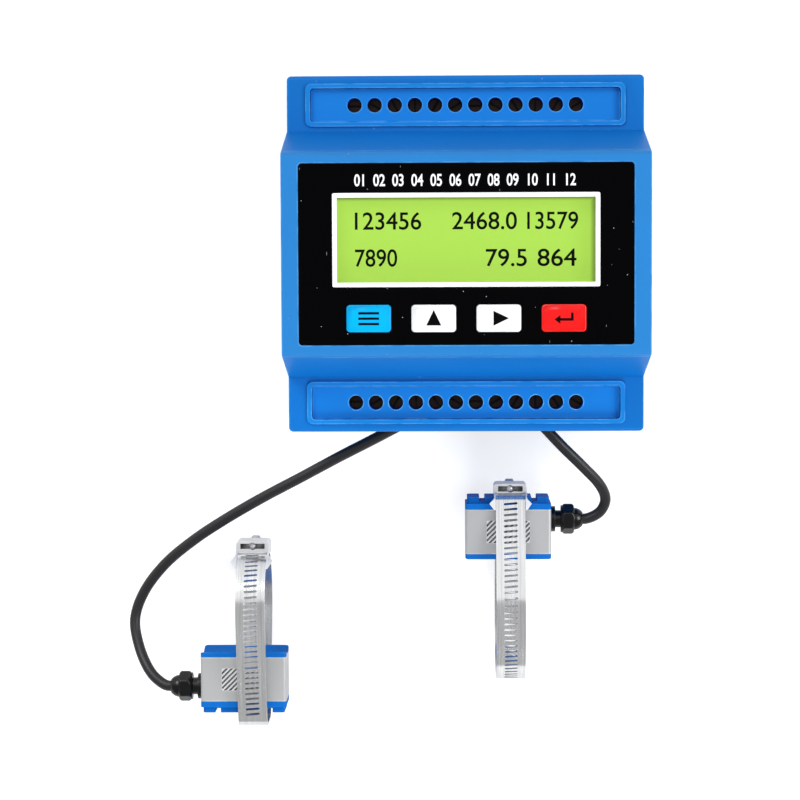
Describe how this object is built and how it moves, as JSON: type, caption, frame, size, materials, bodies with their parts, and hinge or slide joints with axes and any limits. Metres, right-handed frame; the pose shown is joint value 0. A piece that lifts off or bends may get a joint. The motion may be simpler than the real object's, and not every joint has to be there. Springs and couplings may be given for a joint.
{
  "type": "ultrasonic flow meter",
  "caption": "Rail-mounted ultrasonic flow meter with a lit display, keys and screw terminals, wired to clamp-on sensors held in worm-drive pipe clamps.",
  "frame": {"origin": "centre of the meter housing's back face, in the mouth of the rail channel", "axes": "+Z out of the display face, +Y up the face, +X to the right of the face. The part lies on its back."},
  "size_m": [0.1347, 0.1684, 0.0606],
  "materials": {
    "housing_blue": "moulded, satin",
    "panel_black": "glossy film",
    "display_white": "satin",
    "window_clear": "clear",
    "lcd_green": "lit from behind",
    "backlight_white": "diffusing",
    "key_blue": "satin",
    "key_white": "satin",
    "key_red": "satin",
    "black_plastic": "moulded",
    "board_green": "solder mask",
    "steel": "plated",
    "band_steel": "rolled, bright",
    "ribbon_grey": "satin",
    "capacitor_sleeve": "sleeved",
    "relay_blue": "moulded",
    "sensor_grey": "satin",
    "sensor_blue": "moulded",
    "piezo_ceramic": "silvered ceramic",
    "damping_rubber": "matt",
    "gland_black": "moulded",
    "cable_black": "satin jacket",
    "core_insulation": "smooth"
  },
  "bodies": {
    "meter": {"rear_base": "housing_blue", "terminal_shell": "housing_blue", "front_bezel": "housing_blue", "front_overlay": "panel_black", "display_border": "display_white", "display_window": "window_clear", "lcd_glass": "lcd_green", "lcd_backlight": "backlight_white", "lcd_bezel": "steel", "lcd_board": "board_green", "display_board": "board_green", "display_screws": "steel", "key_switches": "black_plastic", "main_board": "board_green", "board_screws": "steel", "board_headers": "black_plastic", "ribbon_cable": "ribbon_grey", "chips": "black_plastic", "filter_capacitors": "capacitor_sleeve", "backup_battery": "steel", "output_relay": "relay_blue", "upper_terminal_block": "housing_blue", "lower_terminal_block": "housing_blue", "upper_terminal_screws": "steel", "lower_terminal_screws": "steel", "upper_wire_clamps": "steel", "lower_wire_clamps": "steel", "right_sensor_case": "sensor_grey", "right_sensor_cap": "sensor_blue", "right_coupling_base": "sensor_blue", "right_piezo_disc": "piezo_ceramic", "right_damping_block": "damping_rubber", "right_gland_body": "gland_black", "right_gland_seal": "damping_rubber", "right_gland_nut": "gland_black", "left_sensor_case": "sensor_grey", "left_sensor_cap": "sensor_blue", "left_coupling_base": "sensor_blue", "left_piezo_disc": "piezo_ceramic", "left_damping_block": "damping_rubber", "left_gland_body": "gland_black", "left_gland_seal": "damping_rubber", "left_gland_nut": "gland_black", "right_band": "band_steel", "right_screw_box": "band_steel", "left_band": "band_steel", "left_screw_box": "band_steel", "left_cable": "cable_black", "right_cable": "cable_black", "left_cores": "core_insulation", "right_cores": "core_insulation"},
    "menu_key": {"menu_key": "key_blue"},
    "up_key": {"up_key": "key_white"},
    "right_key": {"right_key": "key_white"},
    "enter_key": {"enter_key": "key_red"},
    "rail_latch": {"rail_latch": "black_plastic"},
    "right_worm_screw": {"right_worm_screw": "steel"},
    "left_worm_screw": {"left_worm_screw": "steel"}
  },
  "joints": [
    {"name": "menu_key_press", "type": "slide", "parent": "meter", "child": "menu_key", "axis": [0, 0, -1], "range_m": [0, 0.0004], "stiffness_N_per_m": 2500, "springref_m": -0.0002},
    {"name": "up_key_press", "type": "slide", "parent": "meter", "child": "up_key", "axis": [0, 0, -1], "range_m": [0, 0.0004], "stiffness_N_per_m": 2500, "springref_m": -0.0002},
    {"name": "right_key_press", "type": "slide", "parent": "meter", "child": "right_key", "axis": [0, 0, -1], "range_m": [0, 0.0004], "stiffness_N_per_m": 2500, "springref_m": -0.0002},
    {"name": "enter_key_press", "type": "slide", "parent": "meter", "child": "enter_key", "axis": [0, 0, -1], "range_m": [0, 0.0004], "stiffness_N_per_m": 2500, "springref_m": -0.0002},
    {"name": "rail_latch_slide", "type": "slide", "parent": "meter", "child": "rail_latch", "axis": [0, -1, 0], "range_m": [0, 0.0025], "stiffness_N_per_m": 800, "springref_m": -0.001},
    {"name": "right_worm_turn", "type": "hinge", "parent": "meter", "child": "right_worm_screw", "pos_m": [0.0116, -0.06119, 0.0142], "axis": [0, 0, 1], "continuous": true},
    {"name": "left_worm_turn", "type": "hinge", "parent": "meter", "child": "left_worm_screw", "pos_m": [-0.0559, -0.07615, 0.0142], "axis": [0, 0, 1], "continuous": true}
  ]
}
